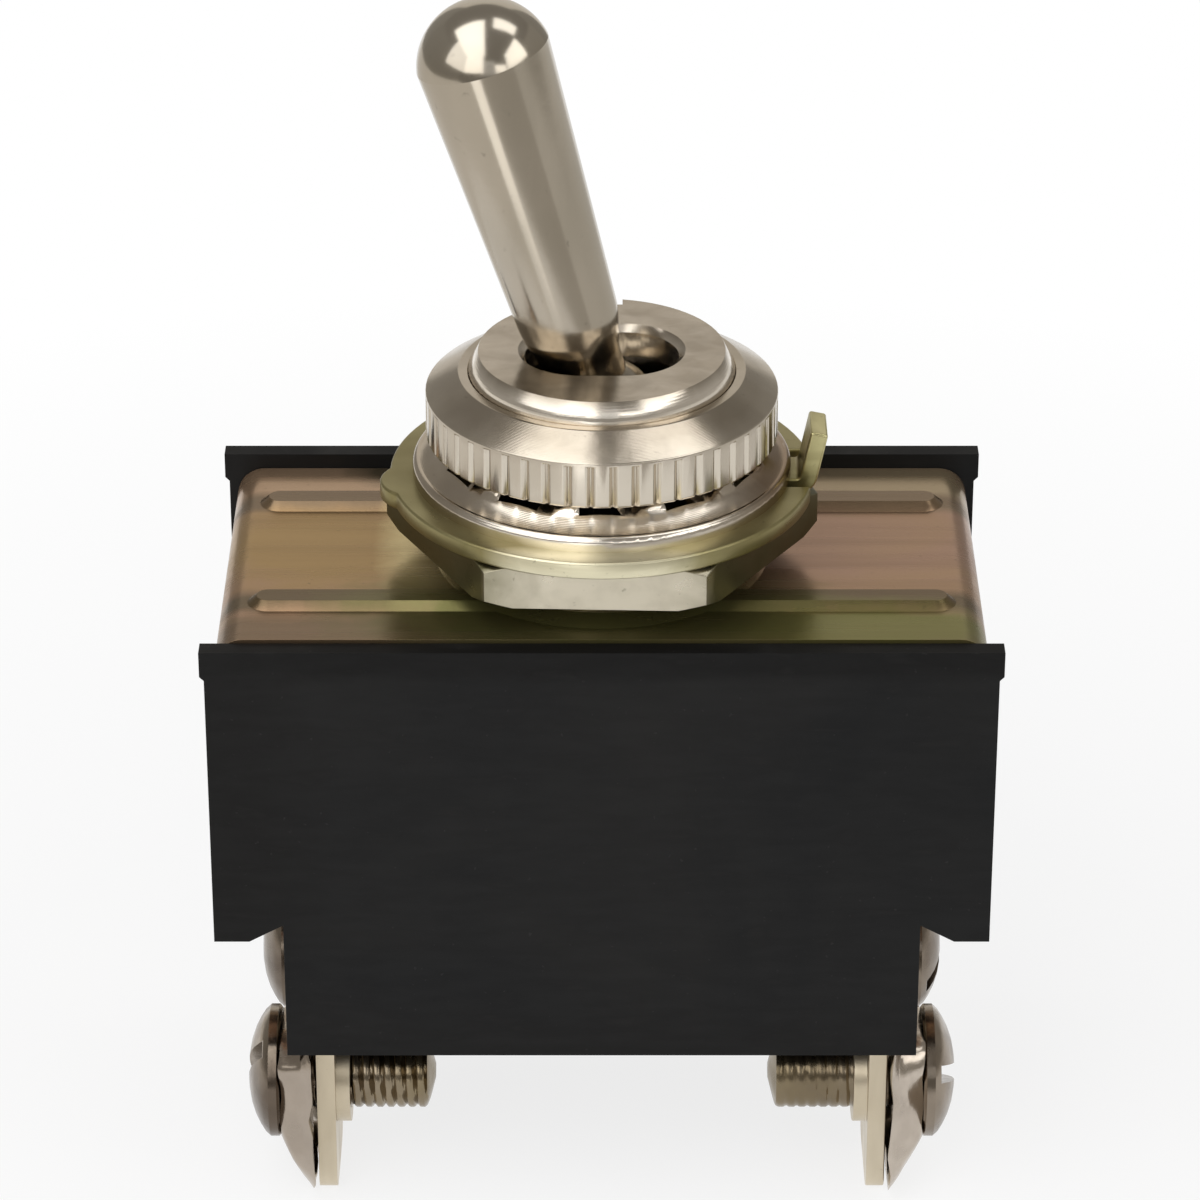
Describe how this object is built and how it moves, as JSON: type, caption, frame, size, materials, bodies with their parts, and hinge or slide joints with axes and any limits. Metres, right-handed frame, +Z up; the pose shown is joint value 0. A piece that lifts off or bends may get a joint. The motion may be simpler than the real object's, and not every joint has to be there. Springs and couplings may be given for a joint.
{
  "type": "panel toggle switch",
  "caption": "Heavy-duty bat-handle toggle switch with a threaded panel bush, steel cover, black moulded base and screw terminals.",
  "frame": {"origin": "the bush's axis at the cover's top face, which is the switch's own reference for panel mounting", "axes": "+Z up along the bush and out through the panel, +X the way the lever throws and along the base, +Y across the poles"},
  "size_m": [0.0356, 0.0194, 0.0563],
  "materials": {
    "moulding": "matte black phenolic moulding",
    "zinc_yellow_steel": "zinc plated and yellow passivated pressed steel",
    "nickel": "bright nickel plate",
    "plated_strip": "nickel-plated brass strip",
    "plated_screw": "nickel-plated steel",
    "brass": "bare brass",
    "contact_silver": "silver contact face",
    "spring_steel": "bare spring steel",
    "insulator": "brown phenolic insulator"
  },
  "bodies": {
    "housing": {"base": "moulding", "cover": "zinc_yellow_steel", "bushing": "nickel", "hex_nut": "nickel", "keyed_washer": "zinc_yellow_steel", "lock_washer": "nickel", "face_nut": "nickel", "pivot_pin": "spring_steel", "fixed_contact_front": "contact_silver", "fixed_contact_rear": "contact_silver", "common_terminal_front": "plated_strip", "common_terminal_rear": "plated_strip", "contact_terminal_front": "plated_strip", "contact_terminal_rear": "plated_strip", "terminal_screw_front_left": "plated_screw", "terminal_screw_front_right": "plated_screw", "terminal_screw_rear_left": "plated_screw", "terminal_screw_rear_right": "plated_screw", "clamp_washer_front_left": "plated_screw", "clamp_washer_front_right": "plated_screw", "clamp_washer_rear_left": "plated_screw", "clamp_washer_rear_right": "plated_screw"},
    "lever": {"lever": "nickel", "drive_yoke": "insulator", "plunger_spring_front": "spring_steel", "plunger_spring_rear": "spring_steel"},
    "plunger_front": {"plunger_front": "brass"},
    "rocker_front": {"rocker_front": "brass", "moving_contact_front": "contact_silver"},
    "plunger_rear": {"plunger_rear": "brass"},
    "rocker_rear": {"rocker_rear": "brass", "moving_contact_rear": "contact_silver"}
  },
  "joints": [
    {"name": "lever_pivot", "type": "hinge", "parent": "housing", "child": "lever", "pos_m": [0, 0, 0.00662], "axis": [0, 1, 0], "range_deg": [0, 32.8]},
    {"name": "plunger_front_travel", "type": "slide", "parent": "lever", "child": "plunger_front", "axis": [-0.2823, 0, 0.9593], "range_m": [0, 0.001], "stiffness_N_per_m": 600, "springref_m": -0.002, "deforming": ["plunger_spring_front"]},
    {"name": "rocker_front_tilt", "type": "hinge", "parent": "housing", "child": "rocker_front", "pos_m": [0, -0.0057, -0.013], "axis": [0, 1, 0], "range_deg": [-17.5, 0]},
    {"name": "plunger_rear_travel", "type": "slide", "parent": "lever", "child": "plunger_rear", "axis": [-0.2823, 0, 0.9593], "range_m": [0, 0.001], "stiffness_N_per_m": 600, "springref_m": -0.002, "deforming": ["plunger_spring_rear"]},
    {"name": "rocker_rear_tilt", "type": "hinge", "parent": "housing", "child": "rocker_rear", "pos_m": [0, 0.0057, -0.013], "axis": [0, 1, 0], "range_deg": [-17.5, 0]}
  ],
  "couplings": [
    {"joint": "rocker_front_tilt", "follows": "lever_pivot", "ratio": -0.53333},
    {"joint": "rocker_rear_tilt", "follows": "lever_pivot", "ratio": -0.53333}
  ]
}
